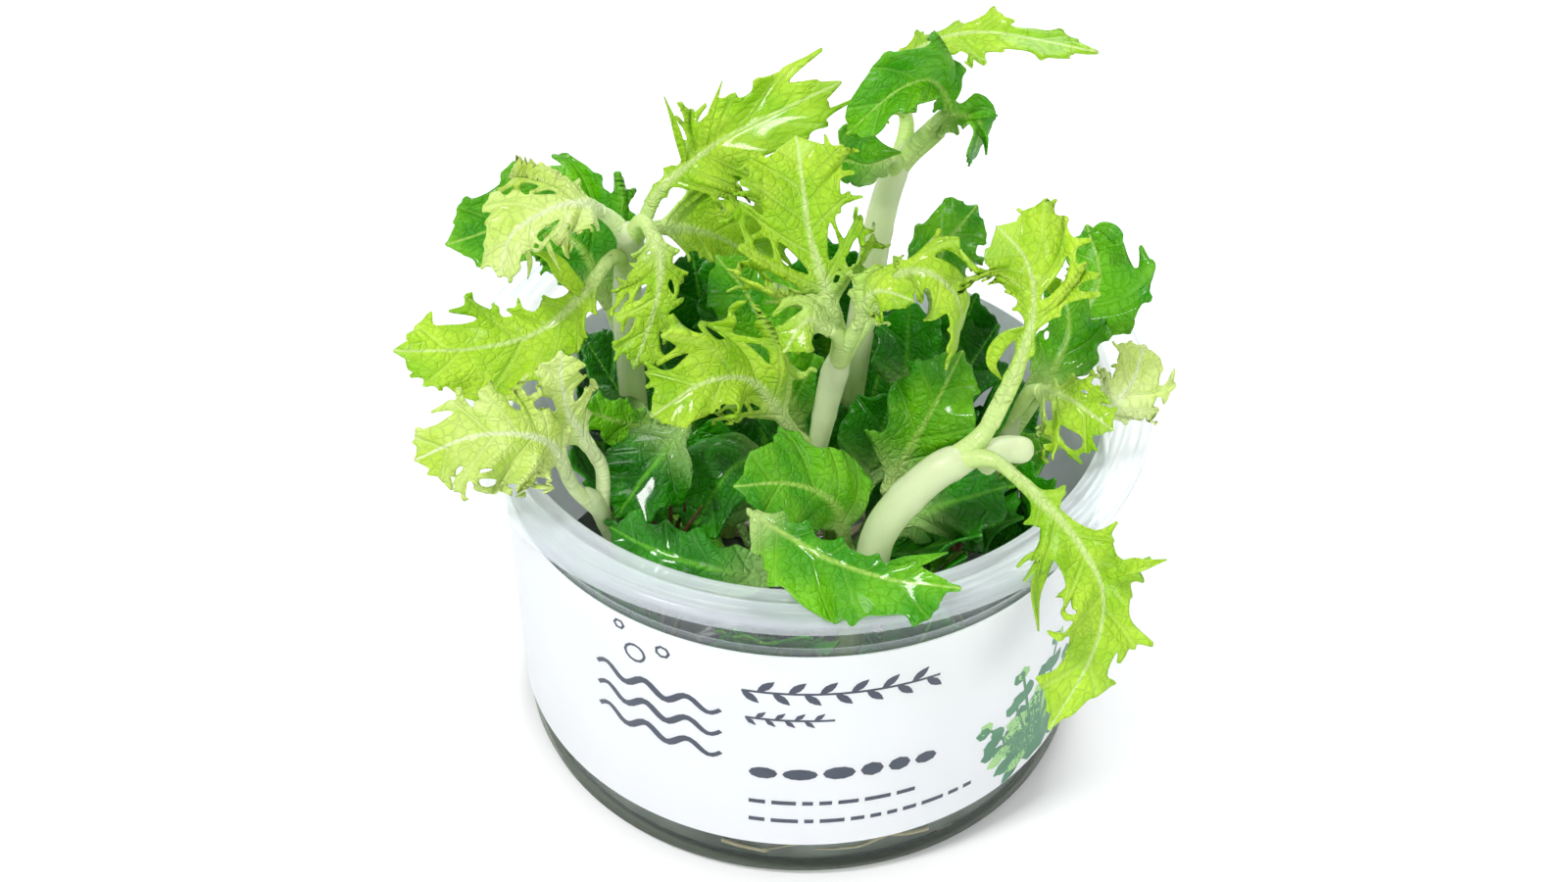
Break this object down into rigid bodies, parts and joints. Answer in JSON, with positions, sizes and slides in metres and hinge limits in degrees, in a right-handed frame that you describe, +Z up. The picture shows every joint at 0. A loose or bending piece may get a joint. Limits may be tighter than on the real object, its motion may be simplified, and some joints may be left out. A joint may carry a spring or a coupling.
{
  "type": "potted water wisteria",
  "caption": "Aquarium plant with lobed leaves and pale thick stems, growing from gel in a clear round cup with a paper band.",
  "frame": {"origin": "centre of the cup's flat underside, on the cup's axis", "axes": "+Z up along the cup's axis, -Y towards the front of the label, +X to the right seen from the front"},
  "size_m": [0.1077, 0.1048, 0.1132],
  "materials": {
    "clear_plastic": "clear, glossy, slightly blue",
    "label_paper": "white, satin, with a printed pattern",
    "culture_gel": "wet translucent gel, grey-olive",
    "pale_stem": "smooth, moist, translucent",
    "young_leaf": "thin, moist, translucent, pale veins",
    "mid_leaf": "moist, half glossy, pale veins",
    "old_leaf": "wet and glossy, dark green"
  },
  "bodies": {
    "root": {"cup": "clear_plastic", "label": "label_paper", "leaf_back": "old_leaf", "leaf_back_left": "old_leaf", "leaf_back_right": "old_leaf", "leaf_centre_dark": "old_leaf", "leaf_centre_frilly": "young_leaf", "leaf_centre_low": "young_leaf", "leaf_centre_right": "young_leaf", "leaf_centre_tall": "young_leaf", "leaf_far_left_low": "young_leaf", "leaf_far_left_up": "young_leaf", "leaf_front_broad": "mid_leaf", "leaf_front_overhang": "mid_leaf", "leaf_front_wall": "old_leaf", "leaf_inner_back": "old_leaf", "leaf_inner_front": "old_leaf", "leaf_inner_glossy": "old_leaf", "leaf_inner_left": "old_leaf", "leaf_inner_low_back": "old_leaf", "leaf_inner_low_left": "old_leaf", "leaf_inner_low_right": "old_leaf", "leaf_inner_right": "old_leaf", "leaf_inner_round": "old_leaf", "leaf_inner_ruffled": "mid_leaf", "leaf_left_arch": "young_leaf", "leaf_left_behind": "mid_leaf", "leaf_left_front": "young_leaf", "leaf_left_inner": "young_leaf", "leaf_left_long": "young_leaf", "leaf_left_round": "old_leaf", "leaf_left_strip": "old_leaf", "leaf_left_up": "young_leaf", "leaf_right_back": "old_leaf", "leaf_right_dark": "old_leaf", "leaf_right_far": "young_leaf", "leaf_right_hanging": "young_leaf", "leaf_right_low": "young_leaf", "leaf_right_stub": "pale_stem", "leaf_right_up": "young_leaf", "leaf_right_wavy": "mid_leaf", "leaf_tall_curled": "old_leaf", "leaf_tall_left": "mid_leaf", "leaf_tall_right": "mid_leaf", "leaf_tall_top": "young_leaf", "leaf_under_right": "old_leaf", "leaf_wall_front": "old_leaf", "leaf_wall_front_left": "old_leaf", "leaf_wall_front_right": "old_leaf", "leaf_wall_left": "old_leaf", "leaf_wall_right": "old_leaf", "nutrient_gel": "culture_gel", "stem_back_left": "pale_stem", "stem_back_right": "pale_stem", "stem_centre": "pale_stem", "stem_far_left": "pale_stem", "stem_left": "pale_stem", "stem_right": "pale_stem", "stem_right_back": "pale_stem", "stem_tall": "pale_stem"}
  },
  "joints": []
}
